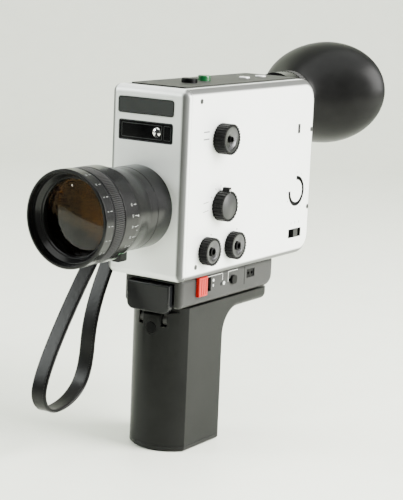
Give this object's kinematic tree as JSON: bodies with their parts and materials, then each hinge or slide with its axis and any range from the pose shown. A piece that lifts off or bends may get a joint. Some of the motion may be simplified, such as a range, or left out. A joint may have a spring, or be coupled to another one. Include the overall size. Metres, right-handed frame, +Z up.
{
  "type": "cine camera",
  "caption": "Hand-held cine camera with a zoom lens, side control knobs, film door, large rubber eyecup, wrist strap and folding battery grip with a trigger.",
  "frame": {"origin": "centre of the grip's foot, on the surface that the camera stands on", "axes": "+Z up, +Y from the lens to the eyepiece, +X to the control side"},
  "size_m": [0.0865, 0.254, 0.2256],
  "materials": {
    "white_cover": "satin",
    "case_frame": "satin",
    "dark_trim": "satin",
    "black_gloss": "gloss",
    "bright_metal": "polished",
    "steel": "brushed",
    "chassis": "mill",
    "motor": "brushed",
    "board": "matt",
    "lens_black": "anodised",
    "lens_glass": "coated",
    "shutter_black": "matt",
    "black_plastic": "satin",
    "dish_metal": "turned",
    "counter": "matt",
    "grey_plastic": "satin",
    "green_plastic": "gloss",
    "red_plastic": "satin",
    "base_grey": "satin",
    "grip_plastic": "satin",
    "cell_case": "plated",
    "bush_brass": "turned",
    "eyecup_rubber": "satin",
    "strap_leather": "smooth"
  },
  "bodies": {
    "camera_body": {"front_cover": "white_cover", "control_cover": "white_cover", "left_cover": "white_cover", "body_frame": "case_frame", "name_plate": "dark_trim", "top_plate": "dark_trim", "meter_window": "black_gloss", "meter_lens": "bright_metal", "top_sockets": "bright_metal", "cover_screws": "bright_metal", "strap_post": "bright_metal", "hinge_pins": "steel", "trigger_spring": "steel", "chassis_plate": "chassis", "gate_bulkhead": "chassis", "drive_motor": "motor", "zoom_motor": "motor", "circuit_board": "board", "lens_barrel": "lens_black", "eyepiece_neck": "lens_black", "viewfinder_tube": "lens_black", "ocular_lens": "lens_glass", "remote_socket": "black_plastic", "base_housing": "base_grey", "tripod_bush": "bush_brass"},
    "film_door": {"film_door": "white_cover"},
    "door_latch": {"door_latch": "black_plastic"},
    "shutter": {"shutter_disc": "shutter_black", "shutter_gear": "steel"},
    "motor_pinion": {"motor_pinion": "steel"},
    "take_up_spindle": {"take_up_spindle": "steel"},
    "film_claw": {"film_claw": "steel"},
    "exposure_knob": {"exposure_knob": "black_plastic", "exposure_dish": "dish_metal"},
    "speed_knob": {"speed_knob": "black_plastic"},
    "timer_knob": {"timer_knob": "black_plastic", "timer_dish": "dish_metal"},
    "fade_knob": {"fade_knob": "black_plastic", "fade_dish": "dish_metal"},
    "counter_disc": {"counter_disc": "counter"},
    "slide_switch": {"slide_switch": "grey_plastic"},
    "black_button": {"black_button": "black_plastic"},
    "green_button": {"green_button": "green_plastic"},
    "zoom_ring": {"zoom_ring": "lens_black"},
    "focus_ring": {"focus_ring": "lens_black"},
    "front_cell": {"front_cell": "lens_black", "front_lens": "lens_glass"},
    "zoom_lens_group": {"zoom_lens_group": "lens_glass"},
    "macro_lever": {"macro_lever": "lens_black"},
    "diopter_ring": {"diopter_ring": "lens_black"},
    "eyecup": {"eyecup": "eyecup_rubber"},
    "trigger": {"trigger": "black_gloss"},
    "lock_switch": {"lock_switch": "red_plastic"},
    "battery_check_slider": {"battery_check_slider": "black_plastic"},
    "grip": {"grip_shell": "grip_plastic", "battery_cells": "cell_case", "battery_contacts": "black_plastic"},
    "grip_button": {"grip_button": "black_plastic"},
    "battery_cover": {"battery_cover": "grip_plastic"},
    "wrist_strap": {"wrist_strap": "strap_leather"}
  },
  "joints": [
    {"name": "door_hinge", "type": "hinge", "parent": "camera_body", "child": "film_door", "pos_m": [-0.0273, 0.101, 0.1535], "axis": [0, 0, -1], "range_deg": [0, 100]},
    {"name": "door_latch_slide", "type": "slide", "parent": "film_door", "child": "door_latch", "axis": [0, 0, 1], "range_m": [0, 0.005]},
    {"name": "shutter_spin", "type": "hinge", "parent": "camera_body", "child": "shutter", "pos_m": [-0.001, 0.0115, 0.1575], "axis": [0, 1, 0], "continuous": true},
    {"name": "motor_spin", "type": "hinge", "parent": "camera_body", "child": "motor_pinion", "pos_m": [0.00939, 0.0085, 0.1635], "axis": [0, 1, 0], "continuous": true},
    {"name": "take_up_spin", "type": "hinge", "parent": "camera_body", "child": "take_up_spindle", "pos_m": [0, 0.0545, 0.1445], "axis": [1, 0, 0], "continuous": true},
    {"name": "claw_stroke", "type": "slide", "parent": "camera_body", "child": "film_claw", "axis": [0, 0, 1], "range_m": [0, 0.00423]},
    {"name": "exposure_knob_turn", "type": "hinge", "parent": "camera_body", "child": "exposure_knob", "pos_m": [0.025, 0.0019, 0.1776], "axis": [1, 0, 0], "range_deg": [-135, 135]},
    {"name": "speed_knob_turn", "type": "hinge", "parent": "camera_body", "child": "speed_knob", "pos_m": [0.025, 0.0038, 0.14], "axis": [1, 0, 0], "range_deg": [-90, 150]},
    {"name": "timer_knob_turn", "type": "hinge", "parent": "camera_body", "child": "timer_knob", "pos_m": [0.025, -0.009, 0.1159], "axis": [1, 0, 0], "range_deg": [0, 300]},
    {"name": "fade_knob_turn", "type": "hinge", "parent": "camera_body", "child": "fade_knob", "pos_m": [0.025, 0.0178, 0.1159], "axis": [1, 0, 0], "range_deg": [0, 300]},
    {"name": "counter_turn", "type": "hinge", "parent": "camera_body", "child": "counter_disc", "pos_m": [0.022, 0.0881, 0.1395], "axis": [1, 0, 0], "range_deg": [0, 270]},
    {"name": "slide_switch_travel", "type": "slide", "parent": "camera_body", "child": "slide_switch", "axis": [0, 1, 0], "range_m": [-0.0045, 0.0045]},
    {"name": "black_button_press", "type": "slide", "parent": "camera_body", "child": "black_button", "axis": [0, 0, -1], "range_m": [0, 0.0014], "stiffness_N_per_m": 300, "springref_m": -0.001},
    {"name": "green_button_press", "type": "slide", "parent": "camera_body", "child": "green_button", "axis": [0, 0, -1], "range_m": [0, 0.0014], "stiffness_N_per_m": 300, "springref_m": -0.001},
    {"name": "zoom_turn", "type": "hinge", "parent": "camera_body", "child": "zoom_ring", "pos_m": [-0.0047, -0.0745, 0.1401], "axis": [0, -1, 0], "range_deg": [0, 120]},
    {"name": "zoom_group_slide", "type": "slide", "parent": "camera_body", "child": "zoom_lens_group", "axis": [0, 1, 0], "range_m": [0, 0.0101]},
    {"name": "focus_turn", "type": "hinge", "parent": "camera_body", "child": "focus_ring", "pos_m": [-0.0047, -0.0855, 0.1401], "axis": [0, -1, 0], "range_deg": [0, 200]},
    {"name": "front_cell_slide", "type": "slide", "parent": "camera_body", "child": "front_cell", "axis": [0, -1, 0], "range_m": [0, 0.0031]},
    {"name": "macro_turn", "type": "hinge", "parent": "camera_body", "child": "macro_lever", "pos_m": [-0.0047, -0.0495, 0.1401], "axis": [0, -1, 0], "range_deg": [-10, 25]},
    {"name": "diopter_turn", "type": "hinge", "parent": "camera_body", "child": "diopter_ring", "pos_m": [0, 0.1145, 0.1925], "axis": [0, 1, 0], "range_deg": [-60, 60]},
    {"name": "eyecup_turn", "type": "hinge", "parent": "camera_body", "child": "eyecup", "pos_m": [0, 0.1215, 0.1925], "axis": [0, 1, 0], "range_deg": [-180, 180]},
    {"name": "trigger_pull", "type": "slide", "parent": "camera_body", "child": "trigger", "axis": [0, 1, 0], "range_m": [0, 0.0025], "stiffness_N_per_m": 800, "springref_m": -0.002, "deforming": ["trigger_spring"]},
    {"name": "lock_switch_travel", "type": "slide", "parent": "camera_body", "child": "lock_switch", "axis": [0, 1, 0], "range_m": [0, 0.006]},
    {"name": "battery_check_travel", "type": "slide", "parent": "camera_body", "child": "battery_check_slider", "axis": [0, 1, 0], "range_m": [-0.0034, 0.0034]},
    {"name": "grip_fold", "type": "hinge", "parent": "camera_body", "child": "grip", "pos_m": [0, -0.0185, 0.0754], "axis": [-1, 0, 0], "range_deg": [0, 90]},
    {"name": "grip_button_press", "type": "slide", "parent": "grip", "child": "grip_button", "axis": [0, 1, 0], "range_m": [0, 0.002], "stiffness_N_per_m": 400, "springref_m": -0.0015},
    {"name": "battery_cover_slide", "type": "slide", "parent": "grip", "child": "battery_cover", "axis": [0, 1, 0], "range_m": [0, 0.05]},
    {"name": "strap_swing", "type": "hinge", "parent": "camera_body", "child": "wrist_strap", "pos_m": [-0.0315, -0.0233, 0.1152], "axis": [-1, 0, 0], "range_deg": [-25, 20]}
  ],
  "couplings": [
    {"joint": "motor_spin", "follows": "shutter_spin", "ratio": -3},
    {"joint": "zoom_group_slide", "follows": "zoom_turn", "m_per_rad": 0.0047746},
    {"joint": "front_cell_slide", "follows": "focus_turn", "m_per_rad": 0.0008594}
  ]
}
